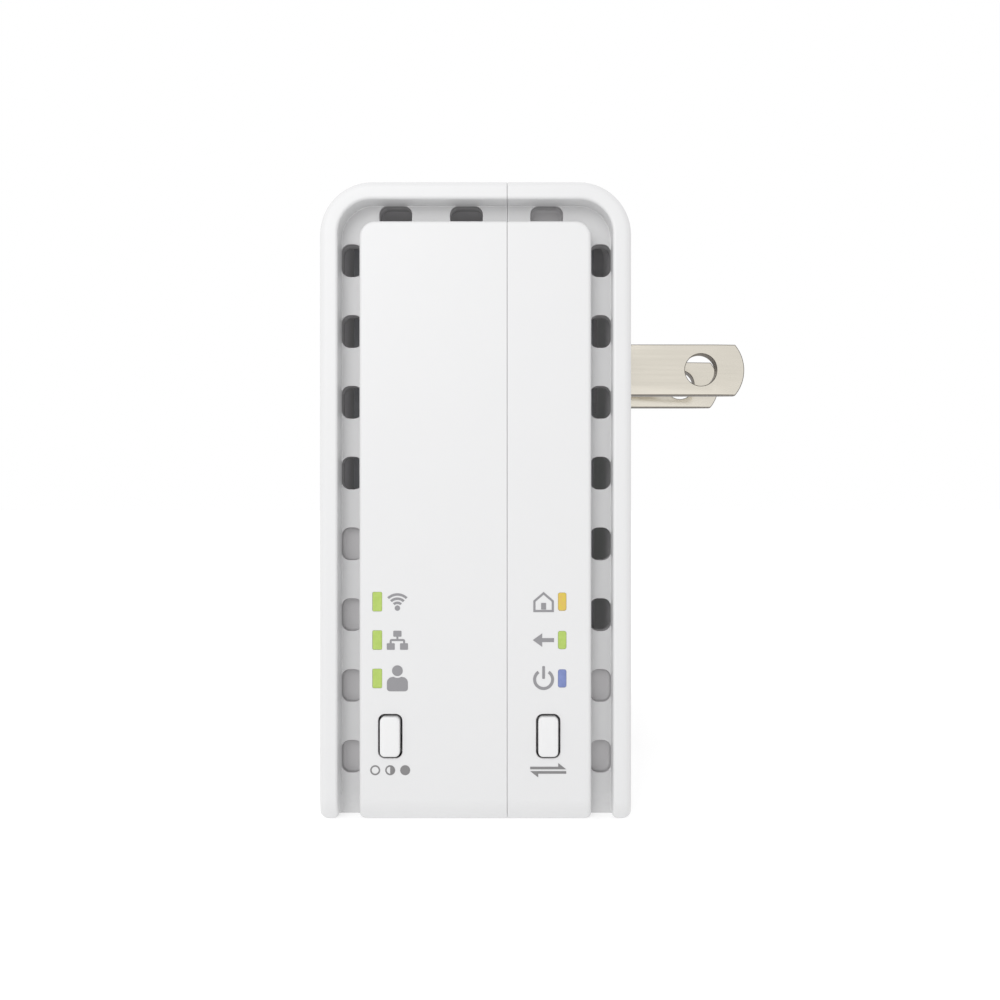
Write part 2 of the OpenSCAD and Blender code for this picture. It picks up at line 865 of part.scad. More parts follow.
front_housing();
rear_housing();
housing_screws();
rating_label();
line_blade();
neutral_blade();
blade_carrier();
mode_button();
sync_button();
front_light_pipe();
rear_light_pipe();
power_board();
fuse();
varistor();
line_filter_capacitor();
line_choke_core();
line_choke_winding();
bridge_rectifier();
bulk_capacitors();
transformer_core();
transformer_winding();
transformer_bobbin();
output_capacitor();
optocoupler();
safety_capacitor();
coupling_transformer();
board_header();
main_board();
powerline_chip();
thermal_pad();
heat_sink();
radio_shield();
ethernet_magnetics();
memory_chip();
crystal();
indicator_leds();
mode_switch();
mode_switch_plunger();
sync_switch();
sync_switch_plunger();
reset_switch();
reset_switch_plunger();
ethernet_jack_shield();
ethernet_jack_body();
ethernet_jack_contacts();
upper_antenna();
front_antenna();
antenna_leads();
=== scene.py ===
"""The looks of a plug-in powerline adapter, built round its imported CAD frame.

The axes are the frame's: +Y points into the outlet, +Z up, and +X out of the indicator side. Sizes are in
millimetres, and new_piece() scales each mesh to metres.
"""

import math

import bmesh
import bpy
from mathutils import Euler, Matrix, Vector


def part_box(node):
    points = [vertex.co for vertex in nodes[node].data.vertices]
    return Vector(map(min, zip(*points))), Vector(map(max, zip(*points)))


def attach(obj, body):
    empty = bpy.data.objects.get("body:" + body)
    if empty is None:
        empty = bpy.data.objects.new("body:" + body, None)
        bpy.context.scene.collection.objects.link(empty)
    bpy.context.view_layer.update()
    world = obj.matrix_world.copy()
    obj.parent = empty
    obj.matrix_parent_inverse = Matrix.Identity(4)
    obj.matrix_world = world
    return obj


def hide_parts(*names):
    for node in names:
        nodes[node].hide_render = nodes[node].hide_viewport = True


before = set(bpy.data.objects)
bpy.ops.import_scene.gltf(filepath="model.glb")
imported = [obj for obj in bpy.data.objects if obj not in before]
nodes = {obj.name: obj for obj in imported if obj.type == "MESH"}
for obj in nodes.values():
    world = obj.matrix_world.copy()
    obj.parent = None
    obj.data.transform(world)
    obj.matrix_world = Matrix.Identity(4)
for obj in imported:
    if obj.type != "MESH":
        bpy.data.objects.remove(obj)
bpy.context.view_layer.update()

MM = 0.001


def span(node):
    """Lowest and highest corners of a CAD node, in millimetres."""
    low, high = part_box(node)
    return low / MM, high / MM


# ---- Sizes: the body's box comes from the frame, and the channel's section is close to the CAD's ----

front_low, front_high = span("front_housing")
rear_low, rear_high = span("rear_housing")
FRONT, REAR = front_low.y, rear_high.y
SIDE, TOP, BASE = front_high.x, front_high.z, front_low.z
CAD_SEAM_GAP = 0.1
SEAM_GAP = 0.015
SEAM = rear_low.y - CAD_SEAM_GAP / 2
REAR_SEAM = SEAM + SEAM_GAP / 2
FRONT_SEAM = SEAM - SEAM_GAP / 2

# RIM and PANEL are the channel's two edges, measured inward from the side's outline.
CORNER = 5.3
PANEL_CORNER = 1.6
RIM = 1.9
PANEL = 4.05
DEPTH = 2.0
FLOOR = SIDE - DEPTH
WALL = 1.6
BASE_WALL = 1.8
REAR_WALL = 1.8

OUTER_FILLET = 0.85
RIM_FILLET = 0.3
PANEL_FILLET = 0.45
CHANNEL_FILLET = 0.08
SEAM_FILLET = 0.1

# The side faces lean inward at the base: a bend, then a straight band down to a small fillet.
BEND_TOP = 2.1
BEND_FOOT = 1.05
BEND_ANGLE = math.radians(20)
BASE_FILLET = 0.08
FOOT_R = 0.6
FLARE_R = 0.45

# The hollow is narrow between the channels, and wider below POCKET_TOP, behind the panels.
HOLLOW_X = FLOOR - WALL
POCKET_X = SIDE - WALL - 0.2
POCKET_TOP = -20
LIP_WALL = 0.8
LIP_REACH = 1.15
LIP_PLAY = 0.1

# The side slots go down from SLOT_TOP. The top slots are (y, depth), with None for an open one.
SLOT_PITCH = 7.26
SLOT_TOP = 8.2
SLOT_W = PANEL - RIM + 0.01
SLOT_L = 3.36
SLOT_CORNER = 0.85
SLOT_MOUTH = 0.05
SLOT_FILLET = 0.3
SLOT_ROWS = 8
FRONT_OPEN_ROWS = 4
REAR_OPEN_ROWS = 6
BLIND_DEPTH = 0.7
DEEP_BLIND_DEPTH = 1.2
FRONT_TOP_SLOTS = ((-23.95, None), (-16.7, None))
REAR_TOP_SLOTS = ((-8.47, DEEP_BLIND_DEPTH),)

WINDOW_R = (0.14, 0.22)
WINDOW_SIZES = ((0.95, 1.93), (0.82, 1.8))
WINDOW_PLAY = 0.02
WINDOW_MOUTH = 0.03
BUTTON_GAP = 0.215
BUTTON_MOUTH = 0.07
BUTTON_OPENING_R = 0.66
CAP_INSET = 0.02
JACK_PLAY = 0.3
BLADE_PLAY = 0.1
LABEL_PLAY = 0.6

# Screws stand at x, z, with their heads on SEAT_Y.
SCREWS = ((-14, TOP - 5), (14, TOP - 5), (-16, BASE + 5.1), (1.5, BASE + 5.1))
SEAT_Y = -6
SCREW_R = 1.25
SCREW_HOLE_R = 1.45
COUNTERBORE_R = 2.4
BOSS_R = 2.6
SHOULDER_R = 3.4
SHOULDER_Y = -9
PINHOLE_R = 0.75

# A cutting tool starts this far outside the face that it cuts.
CUT = 0.3


# ---- Mesh helpers ----

def arc(centre, radius, start, end, steps):
    """Points of an arc in a plane, with its angles in degrees."""
    angles = [math.radians(start + (end - start) * i / steps) for i in range(steps + 1)]
    return [(centre[0] + radius * math.cos(a), centre[1] + radius * math.sin(a)) for a in angles]


def rounded(width, height, radius, steps=6):
    """A rectangle with round corners, centred on the origin, as one closed outline."""
    points = []
    for quarter, (sx, sy) in enumerate(((1, 1), (-1, 1), (-1, -1), (1, -1))):
        centre = (sx * (width / 2 - radius), sy * (height / 2 - radius))
        points += arc(centre, radius, 90 * quarter, 90 * quarter + 90, steps)
    return points


def circle(radius, steps=32):
    """A circle about the origin, as a closed outline."""
    return arc((0, 0), radius, 0, 360, steps)[:-1]


def on_side(outline, y, z, x):
    """An outline drawn in (y, z), moved to y, z and stood at x."""
    return [(x, y + u, z + v) for u, v in outline]


def on_wall(outline, x, z, y):
    """An outline drawn in (x, z), moved to x, z and stood at y."""
    return [(x + u, y, z + v) for u, v in outline]


def on_base(outline, x, y, z):
    """An outline drawn in (x, y), moved to x, y and laid at z."""
    return [(x + u, y + v, z) for u, v in outline]


def loft(bm, rings):
    """A closed solid through rings of equally many points."""
    rows = [[bm.verts.new(p) for p in ring] for ring in rings]
    count = len(rows[0])
    for low, high in zip(rows, rows[1:]):
        for i in range(count):
            j = (i + 1) % count
            bm.faces.new((low[i], low[j], high[j], high[i]))
    bm.faces.new(rows[0])
    bm.faces.new(rows[-1])
    return rows


def new_mesh(bm):
    """The finished mesh, in metres, with its faces turned outward."""
    bmesh.ops.recalc_face_normals(bm, faces=bm.faces)
    bmesh.ops.scale(bm, vec=(MM, MM, MM), verts=bm.verts)
    mesh = bpy.data.meshes.new("mesh")
    bm.to_mesh(mesh)
    bm.free()
    return mesh


def new_piece(name, bm, finish, body="body", replaces=(), smooth=30):
    """A finished piece that rides on a body."""
    piece = bpy.data.objects.new(name, new_mesh(bm))
    piece.data.name = name
    bpy.context.scene.collection.objects.link(piece)
    piece.data.materials.append(finish)
    shade(piece, smooth)
    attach(piece, body)
    if replaces:
        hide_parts(*replaces)
    return piece


def shade(piece, angle):
    """Smooth faces, with sharp edges kept where the surface turns by more than angle degrees."""
    piece.data.shade_smooth()
    bm = bmesh.new()
    bm.from_mesh(piece.data)
    limit = math.radians(angle)
    for edge in bm.edges:
        edge.smooth = len(edge.link_faces) == 2 and edge.calc_face_angle(0) < limit
    bm.to_mesh(piece.data)
    bm.free()


def weigh_normals(piece):
    """Keeps flat faces flat beside their fillets."""
    modifier = piece.modifiers.new("normals", "WEIGHTED_NORMAL")
    modifier.keep_sharp = True
    modifier.weight = 50


def combine(piece, bm, operation, finish=None):
    """Adds or cuts away the solids in bm. The faces that they leave take the finish, or the piece's first."""
    tool = bpy.data.objects.new("tool", new_mesh(bm))
    bpy.context.scene.collection.objects.link(tool)
    tool.data.materials.append(finish or piece.data.materials[0])
    modifier = piece.modifiers.new("combine", "BOOLEAN")
    modifier.operation = operation
    modifier.solver = "EXACT"
    modifier.material_mode = "TRANSFER"
    modifier.object = tool
    depsgraph = bpy.context.evaluated_depsgraph_get()
    made = bpy.data.meshes.new_from_object(piece.evaluated_get(depsgraph))
    piece.modifiers.clear()
    before = piece.data
    piece.data = made
    bpy.data.meshes.remove(before)
    bpy.data.objects.remove(tool)


# ---- Materials: scales are in features per metre, and BUMP_HEIGHT is in metres ----

MOTTLE_SCALE = 180
GLOSS_SCALE = 900
GRAIN_SCALE = 9000
BUMP_HEIGHT = 0.00001
LENS_GLOW = 0.22


def material(name, color, roughness, metallic=0.0):
    """A Principled material. Returns it with its node tree and shader."""
    made = bpy.data.materials.new(name)
    made.use_nodes = True
    shader = made.node_tree.nodes["Principled BSDF"]
    shader.inputs["Base Color"].default_value = (*color, 1)
    shader.inputs["Roughness"].default_value = roughness
    shader.inputs["Metallic"].default_value = metallic
    return made, made.node_tree, shader


def noise(tree, scale, detail=3, stretch=(1, 1, 1)):
    """Noise in object space."""
    coords = tree.nodes.new("ShaderNodeTexCoord")
    mapping = tree.nodes.new("ShaderNodeMapping")
    mapping.inputs["Scale"].default_value = stretch
    texture = tree.nodes.new("ShaderNodeTexNoise")
    texture.inputs["Scale"].default_value = scale
    texture.inputs["Detail"].default_value = detail
    tree.links.new(coords.outputs["Object"], mapping.inputs["Vector"])
    tree.links.new(mapping.outputs["Vector"], texture.inputs["Vector"])
    return texture.outputs["Fac"]


def ramp(tree, factor, low, high):
    """Maps a factor to a value between low and high."""
    node = tree.nodes.new("ShaderNodeMapRange")
    node.inputs["To Min"].default_value = low
    node.inputs["To Max"].default_value = high
    tree.links.new(factor, node.inputs["Value"])
    return node.outputs["Result"]


def blend_colors(tree, factor, first, second):
    """Mixes two colours by a factor."""
    node = tree.nodes.new("ShaderNodeMix")
    node.data_type = "RGBA"
    node.inputs["A"].default_value = (*first, 1)
    node.inputs["B"].default_value = (*second, 1)
    tree.links.new(factor, node.inputs["Factor"])
    return node.outputs["Result"]


def vary(tree, shader, factor, dark, light, low, high):
    """Drives the colour from dark to light, and the roughness from low to high, with one factor."""
    tree.links.new(blend_colors(tree, factor, dark, light), shader.inputs["Base Color"])
    tree.links.new(ramp(tree, factor, low, high), shader.inputs["Roughness"])


def bump(tree, shader, height, strength):
    """Fine relief from a height."""
    node = tree.nodes.new("ShaderNodeBump")
    node.inputs["Strength"].default_value = strength
    node.inputs["Distance"].default_value = BUMP_HEIGHT
    tree.links.new(height, node.inputs["Height"])
    tree.links.new(node.outputs["Normal"], shader.inputs["Normal"])


def darkened(color, share):
    return tuple(c * (1 - share) for c in color)


def moulded(name, color, roughness=0.42, grain=0.12):
    """Satin moulded plastic: fine spark-eroded grain, slight mottling and uneven gloss."""
    made, tree, shader = material(name, color, roughness)
    mottle = noise(tree, MOTTLE_SCALE, 4)
    gloss = ramp(tree, noise(tree, GLOSS_SCALE), roughness - 0.05, roughness + 0.07)
    tree.links.new(blend_colors(tree, mottle, darkened(color, 0.015), color), shader.inputs["Base Color"])
    tree.links.new(gloss, shader.inputs["Roughness"])
    bump(tree, shader, noise(tree, GRAIN_SCALE, 2), grain)
    return made


def plain(name, color, roughness=0.5, metallic=0.0, spread=0.12):
    """Light mottling, for printed marks, small trim and the pieces inside."""
    made, tree, shader = material(name, color, roughness, metallic)
    factor = noise(tree, 1500)
    vary(tree, shader, factor, darkened(color, spread), color, roughness - 0.05, roughness + 0.05)
    return made


def plated(name, color, roughness):
    """Rolled and plated metal, with faint drawn lines along Y."""
    made, tree, shader = material(name, color, roughness, 1.0)
    lines = noise(tree, 3000, 4, stretch=(1, 0.03, 1))
    vary(tree, shader, lines, darkened(color, 0.1), color, roughness - 0.06, roughness + 0.08)
    bump(tree, shader, lines, 0.08)
    return made


def painted_glow(made, glow):
    """A faint even painted glow that stands in for the daylight coming through the white walls into the
    hollow.
    """
    shader = made.node_tree.nodes["Principled BSDF"]
    shader.inputs["Emission Color"].default_value = (1, 0.985, 1, 1)
    shader.inputs["Emission Strength"].default_value = glow
    return made


def depth_shaded(name, surface, stops):
    """Plastic painted darker with depth below a surface at |x|, as painted shade. stops holds (depth, grey)
    pairs.
    """
    made, tree, shader = material(name, (0.5, 0.5, 0.5), 0.5)
    coords = tree.nodes.new("ShaderNodeTexCoord")
    parts = tree.nodes.new("ShaderNodeSeparateXYZ")
    tree.links.new(coords.outputs["Object"], parts.inputs["Vector"])
    size = tree.nodes.new("ShaderNodeMath")
    size.operation = "ABSOLUTE"
    tree.links.new(parts.outputs["X"], size.inputs[0])
    depth = tree.nodes.new("ShaderNodeMapRange")
    deepest = stops[-1][0]
    depth.inputs["From Min"].default_value = surface * MM
    depth.inputs["From Max"].default_value = (surface - deepest) * MM
    tree.links.new(size.outputs["Value"], depth.inputs["Value"])
    colors = tree.nodes.new("ShaderNodeValToRGB")
    while len(colors.color_ramp.elements) < len(stops):
        colors.color_ramp.elements.new(0.5)
    for element, (at, grey) in zip(colors.color_ramp.elements, stops):
        element.position = at / deepest
        element.color = (grey, grey * 0.985, grey, 1)
    tree.links.new(depth.outputs["Result"], colors.inputs["Fac"])
    tree.links.new(colors.outputs["Color"], shader.inputs["Base Color"])
    bump(tree, shader, noise(tree, GRAIN_SCALE, 2), 0.1)
    return made


def glowing(name, color, core):
    """A lit light guide: translucent plastic with an uneven glow between two colours."""
    made, tree, shader = material(name, color, 0.35)
    mix = blend_colors(tree, ramp(tree, noise(tree, 2200, 2), -0.3, 1.3), color, core)
    tree.links.new(mix, shader.inputs["Base Color"])
    tree.links.new(mix, shader.inputs["Emission Color"])
    shader.inputs["Emission Strength"].default_value = LENS_GLOW
    return made


def film(name, color, dark, light):
    """A thin matt label film."""
    made, tree, shader = material(name, color, 0.4)
    vary(tree, shader, noise(tree, 700), dark, light, 0.32, 0.42)
    return made


WHITE = (0.63, 0.63, 0.634)
# Greys by depth for painted shade in the slots and in the panel's openings. The slot greys dip to a darker
# ring just above the blind slots' floors.
SLOT_SHADE_STOPS = ((0, 0.62), (0.15, 0.45), (0.4, 0.27), (0.7, 0.46), (1.6, 0.36))
OPENING_SHADE_STOPS = ((0, 0.62), (0.12, 0.3), (0.4, 0.12))

shell_white = moulded("shell_white", WHITE)
# The channel floor is 12% darker than the shell: painted shade in the channel. It is also rougher, with
# coarser grain.
channel_shaded_white = moulded("channel_shaded_white", darkened(WHITE, 0.12), 0.5, 0.2)
# The hollow's inside faces carry a painted glow.
shell_inside = painted_glow(moulded("shell_inside", (0.6, 0.59, 0.6), 0.6), 0.045)
slot_painted_shade = depth_shaded("slot_painted_shade", FLOOR, SLOT_SHADE_STOPS)
opening_painted_shade = depth_shaded("opening_painted_shade", SIDE, OPENING_SHADE_STOPS)
button_white = moulded("button_white", (0.67, 0.67, 0.673), 0.38, 0.08)
guide_clear = plain("guide_clear", (0.75, 0.76, 0.75), 0.3, spread=0.04)
lens_green = glowing("lens_green", (0.264, 0.37, 0.066), (0.325, 0.43, 0.1))
lens_amber = glowing("lens_amber", (0.47, 0.38, 0.04), (0.49, 0.3, 0.08))
lens_blue = glowing("lens_blue", (0.105, 0.14, 0.3), (0.15, 0.185, 0.38))
ink_grey = plain("ink_grey", (0.235, 0.232, 0.243), 0.55, spread=0.06)
ink_dark = plain("ink_dark", (0.185, 0.182, 0.184), 0.55, spread=0.06)
nickel = plated("nickel", (0.71, 0.67, 0.59), 0.24)
# Dark metal for the blades' edges and hole walls: partly a rougher cut finish, partly painted shade under the
# blades and in the holes.
nickel_edge_and_shade = plain("nickel_edge_and_shade", (0.17, 0.15, 0.13), 0.45, 1.0)
steel = plain("screw_steel", (0.55, 0.55, 0.56), 0.35, 1.0)
# Near-black steel in the screws' cross recesses: painted shade.
recess_painted_shade = plain("screw_recess_painted_shade", (0.12, 0.12, 0.12), 0.5, 1.0)
label_film = film("label_film", (0.62, 0.63, 0.64), (0.56, 0.57, 0.58), (0.63, 0.64, 0.65))


# ---- Housing ----

def half_section():
    """The side's section as (inset from the outline, x), from the panel across the channel to the edge."""
    points = arc((PANEL + PANEL_FILLET, SIDE - PANEL_FILLET), PANEL_FILLET, 90, 180, 6)
    points += arc((PANEL - CHANNEL_FILLET, FLOOR + CHANNEL_FILLET), CHANNEL_FILLET, 0, -90, 2)
    points += arc((RIM + CHANNEL_FILLET, FLOOR + CHANNEL_FILLET), CHANNEL_FILLET, -90, -180, 2)
    points += arc((RIM - RIM_FILLET, SIDE - RIM_FILLET), RIM_FILLET, 0, 90, 7)
    points += arc((OUTER_FILLET, SIDE - OUTER_FILLET), OUTER_FILLET, 90, 180, 8)
    return points


def rounding(radius, height):
    """How far a quarter round of that radius stands back at a height above its foot."""
    if height >= radius:
        return 0
    return radius - math.sqrt(radius ** 2 - (radius - height) ** 2)


def lean(height):
    """How far the side face stands back at a height above the base."""
    bend_r = (BEND_TOP - BEND_FOOT) / math.sin(BEND_ANGLE)
    if height >= BEND_TOP:
        return 0
    if height >= BEND_FOOT:
        return bend_r - math.sqrt(bend_r ** 2 - (BEND_TOP - height) ** 2)
    band = math.tan(BEND_ANGLE) * (BEND_FOOT - height)
    return rounding(BASE_FILLET, height) + bend_r * (1 - math.cos(BEND_ANGLE)) + band


def foot_shift(inset, height):
    """Rounds the lower ends of the rim and panel, seen from the side."""
    flare = rounding(FLARE_R, height)
    if inset < RIM:
        return rounding(FOOT_R, height) * (1 - inset / RIM) - flare * inset / RIM
    return flare * min(1, 2 * (inset - RIM) / (PANEL - RIM) - 1)


def corner_radius(inset):
    """Radius of the section's path round an upper corner: concentric at the rim, and tighter at the panel."""
    across = min(1, max(0, (inset - RIM) / (PANEL - RIM)))
    return (1 - across) * (CORNER - inset) + across * (PANEL_CORNER + PANEL - inset)


def leaned(x, height):
    """x with the side face's lean, which leaves the channel's floor alone."""
    if abs(x) <= FLOOR:
        return x
    return math.copysign(FLOOR + (abs(x) - FLOOR) * (1 - lean(height) / DEPTH), x)


def body_half(wall_y, inward, reach):
    """Half of the body as a solid, from its outer wall to the parting line, reach away."""
    half = half_section()
    section = half + [(d, -x) for d, x in reversed(half)]
    heights = [FOOT_R * (1 - math.cos(math.radians(90 * i / 8))) for i in range(9)]
    heights += [BEND_FOOT + (BEND_TOP - BEND_FOOT) * i / 5 for i in range(6)]
    corner_steps = 14

    def up_leg(h):
        return [(leaned(x, h), d + foot_shift(d, h), BASE + h) for d, x in section]

    def round_corner(a):
        ring = []
        for d, x in section:
            r = corner_radius(d)
            ring.append((x, d + r * (1 - math.cos(a)), TOP - d - r * (1 - math.sin(a))))
        return ring

    rings = [up_leg(h) for h in heights]
    rings += [round_corner(math.pi / 2 * i / corner_steps) for i in range(corner_steps + 1)]
    rings.append([(x, reach, TOP - d) for d, x in section])

    bm = bmesh.new()

    def vertex(x, u, z):
        return bm.verts.new((x, wall_y + inward * u, z))

    grid = [[vertex(*p) for p in ring] for ring in rings]
    for low, high in zip(grid, grid[1:]):
        for i in range(len(section) - 1):
            bm.faces.new((low[i], low[i + 1], high[i + 1], high[i]))

    edges = {}
    for side, column in ((1, 0), (-1, -1)):
        seam = [vertex(side * leaned(SIDE, h), reach, BASE + h) for h in heights]
        for i in range(len(heights) - 1):
            bm.faces.new((grid[i][column], grid[i + 1][column], seam[i + 1], seam[i]))
        top = len(heights) - 1
        bm.faces.new([ring[column] for ring in grid[top:]] + [seam[top]])
        edges[side] = seam
    bm.faces.new(grid[0] + [edges[-1][0], edges[1][0]])
    parting = bm.faces.new(grid[-1] + edges[-1][::-1] + edges[1])
    # Faces on the channel floor take the second finish, the channel white with painted shade.
    for face in bm.faces:
        on_floor = all(abs(abs(v.co.x) - FLOOR) < 0.01 for v in face.verts)
        if face is not parting and len(face.verts) == 4 and on_floor:
            face.material_index = 1
    bmesh.ops.recalc_face_normals(bm, faces=bm.faces)
    bmesh.ops.bevel(bm, geom=list(parting.edges), offset=SEAM_FILLET, offset_type="OFFSET", segments=3,
                    profile=0.5, affect="EDGES", clamp_overlap=False)
    return bm


def hollow_section(grow):
    """The hollow's section in (x, z) at the parting line: narrow above, and wider behind the panel."""
    low, high = BASE + BASE_WALL - grow, TOP - WALL + grow
    narrow, wide, step = HOLLOW_X + grow, POCKET_X + grow, POCKET_TOP + grow
    right = [(wide, low), (wide, step), (narrow, step), (narrow, high)]
    return right + [(-x, z) for x, z in reversed(right)]


def hollow_tools(wall_y, inward, wall):
    """The two solids that hollow out a half: the main hollow and the pocket behind the panel."""
    low, high = BASE + BASE_WALL, TOP - WALL
    inner = wall_y + inward * wall
    beyond = wall_y + inward * (abs(REAR - FRONT) - 2)
    r = CORNER - wall
    bend = arc((inner + inward * r, high - r), r, 90 + 90 * inward, 90, 8)
    outline = [(inner, low)] + bend + [(beyond, high), (beyond, low)]
    main = bmesh.new()
    loft(main, [[(x, y, z) for y, z in outline] for x in (-HOLLOW_X, HOLLOW_X)])
    pocket = bmesh.new()
    start = wall_y + inward * (PANEL + 1)
    box = [(start, low - 0.001), (start, POCKET_TOP), (beyond, POCKET_TOP), (beyond, low - 0.001)]
    loft(pocket, [[(x, y, z) for y, z in box] for x in (-POCKET_X, POCKET_X)])
    return main, pocket


def slot_tool(bm, side, y, z, upright, depth):
    """One vent slot, as wide as the channel, with a softened mouth. depth is None for an open one."""
    def ring(x, longer, grow=0.0):
        width, length = SLOT_W + 2 * grow, SLOT_L + 2 * longer + 2 * grow
        size = (width, length) if upright else (length, width)
        return on_side(rounded(*size, SLOT_CORNER + grow), y, z, side * x)

    mouth = SLOT_MOUTH
    rings = [ring(FLOOR + 0.1, mouth), ring(FLOOR, mouth), ring(FLOOR - 0.3 * mouth, 0.3 * mouth),
             ring(FLOOR - mouth, 0)]
    if depth is None:
        rings.append(ring(HOLLOW_X - 0.6, 0))
    else:
        for i in range(1, 6):
            a = math.radians(18 * i)
            x = FLOOR - depth + SLOT_FILLET * (1 - math.sin(a))
            rings.append(ring(x, 0, -SLOT_FILLET * (1 - math.cos(a))))
    loft(bm, rings)


def vent_tools(wall_y, inward, open_rows, top_slots):
    """All the slots of a half, on both sides."""
    bm = bmesh.new()
    middle = (RIM + PANEL) / 2
    for side in (1, -1):
        for row in range(SLOT_ROWS):
            depth = None if row < open_rows else BLIND_DEPTH
            slot_tool(bm, side, wall_y + inward * middle, SLOT_TOP - row * SLOT_PITCH, True, depth)
        for y, depth in top_slots:
            slot_tool(bm, side, y, TOP - middle, False, depth)
    return bm


def opening_tool(bm, y, z, width, height, radius, mouth):
    """A straight opening along X into the hollow, with a softened mouth."""
    def ring(x, grow):
        return on_side(rounded(width + 2 * grow, height + 2 * grow, radius + grow), y, z, x)

    loft(bm, [ring(SIDE + 0.2, mouth), ring(SIDE, mouth), ring(SIDE - 0.3 * mouth, 0.3 * mouth),
              ring(SIDE - mouth, 0), ring(HOLLOW_X - 1, 0)])


def window_places():
    """y, z, width and height of each indicator window: the front column, then the rear one."""
    found = []
    for node, (width, height) in zip(("front_light_pipe", "rear_light_pipe"), WINDOW_SIZES):
        prongs = [v.co / MM for v in nodes[node].data.vertices if v.co.x / MM > SIDE - 1]
        low_y, high_y = min(p.y for p in prongs), max(p.y for p in prongs)
        heights = sorted({round(p.z, 3) for p in prongs})
        column = []
        for low_z, high_z in zip(heights[::2], heights[1::2]):
            column.append(((low_y + high_y) / 2, (low_z + high_z) / 2, width, height))
        found.append(column)
    return found


WINDOWS = window_places()


def button_place(node):
    """y, z, width and height of a button's cap."""
    cap = [v.co / MM for v in nodes[node].data.vertices if v.co.x / MM > SIDE]
    low = Vector((min(p.y for p in cap), min(p.z for p in cap)))
    high = Vector((max(p.y for p in cap), max(p.z for p in cap)))
    middle, size = (low + high) / 2, high - low
    return middle.x, middle.y, size.x - CAP_INSET, size.y - CAP_INSET


def panel_tools(column, node):
    """The windows and the button's opening in one part of the panel."""
    bm = bmesh.new()
    for y, z, width, height in WINDOWS[column]:
        opening_tool(bm, y, z, width + WINDOW_PLAY, height + WINDOW_PLAY, WINDOW_R[column], WINDOW_MOUTH)
    y, z, width, height = button_place(node)
    opening_tool(bm, y, z, width + 2 * BUTTON_GAP, height + 2 * BUTTON_GAP, BUTTON_OPENING_R, BUTTON_MOUTH)
    return bm


def jack_tool():
    """The network socket's opening in the base."""
    low, high = span("ethernet_jack_shield")
    width, depth = high.x - low.x + JACK_PLAY, high.y - low.y + JACK_PLAY
    x, y = (low.x + high.x) / 2, (low.y + high.y) / 2
    bm = bmesh.new()
    rings = ((BASE - CUT, 0.15), (BASE, 0.15), (BASE + 0.05, 0.05), (BASE + 0.15, 0),
             (BASE + BASE_WALL + 1, 0))
    loft(bm, [on_base(rounded(width + 2 * g, depth + 2 * g, 0.4 + g, 3), x, y, z) for z, g in rings])
    return bm


def pinhole_tool():
    """The reset plunger's pinhole in the base, with a wide mouth."""
    low, high = span("reset_switch_plunger")
    x, y = (low.x + high.x) / 2, (low.y + high.y) / 2
    mouth_r = PINHOLE_R + 0.2
    bm = bmesh.new()
    rings = ((BASE - CUT, mouth_r), (BASE, mouth_r), (BASE + 0.2, PINHOLE_R),
             (BASE + BASE_WALL + 0.2, PINHOLE_R))
    loft(bm, [on_base(circle(r, 24), x, y, z) for z, r in rings])
    return bm


def lip_tool(seam, play):
    """The lip that closes the parting line from inside, or with play, the groove that it stands in."""
    outline = hollow_section(LIP_WALL + play)
    bm = bmesh.new()
    loft(bm, [[(x, y, z) for x, z in outline] for y in (seam - 1, REAR_SEAM + LIP_REACH + play)])
    return bm


def post_tools(radius, y0, y1):
    """A straight cylinder at each screw."""
    bm = bmesh.new()
    for x, z in SCREWS:
        loft(bm, [on_wall(circle(radius), x, z, y) for y in (y0, y1)])
    return bm


def counterbore_tools():
    """The stepped screw holes in the wall face, each with a softened mouth."""
    steps = ((CUT, 2.65), (0, 2.65), (-0.08, 2.48), (-0.25, COUNTERBORE_R), (SEAT_Y, COUNTERBORE_R),
             (SEAT_Y, SCREW_HOLE_R), (REAR_SEAM - 1, SCREW_HOLE_R))
    bm = bmesh.new()
    for x, z in SCREWS:
        loft(bm, [on_wall(circle(r, 40), x, z, y) for y, r in steps])
    return bm


def front_housing():
    """The deeper half, with the lip, the screw bosses and the front part of the panel."""
    shell = body_half(FRONT, 1, FRONT_SEAM - FRONT)
    piece = new_piece("front_housing_shell", shell, shell_white, "body", ["front_housing"])
    piece.data.materials.append(channel_shaded_white)
    combine(piece, lip_tool(FRONT_SEAM, 0), "UNION")
    for tool in hollow_tools(FRONT, 1, WALL):
        combine(piece, tool, "DIFFERENCE", shell_inside)
    combine(piece, post_tools(BOSS_R, FRONT + WALL - 0.4, FRONT_SEAM), "UNION")
    combine(piece, post_tools(SCREW_R + 0.02, SEAT_Y - 15, SEAT_Y), "DIFFERENCE")
    combine(piece, vent_tools(FRONT, 1, FRONT_OPEN_ROWS, FRONT_TOP_SLOTS), "DIFFERENCE", slot_painted_shade)
    combine(piece, panel_tools(0, "mode_button"), "DIFFERENCE", opening_painted_shade)
    combine(piece, jack_tool(), "DIFFERENCE")
    combine(piece, pinhole_tool(), "DIFFERENCE")
    return piece


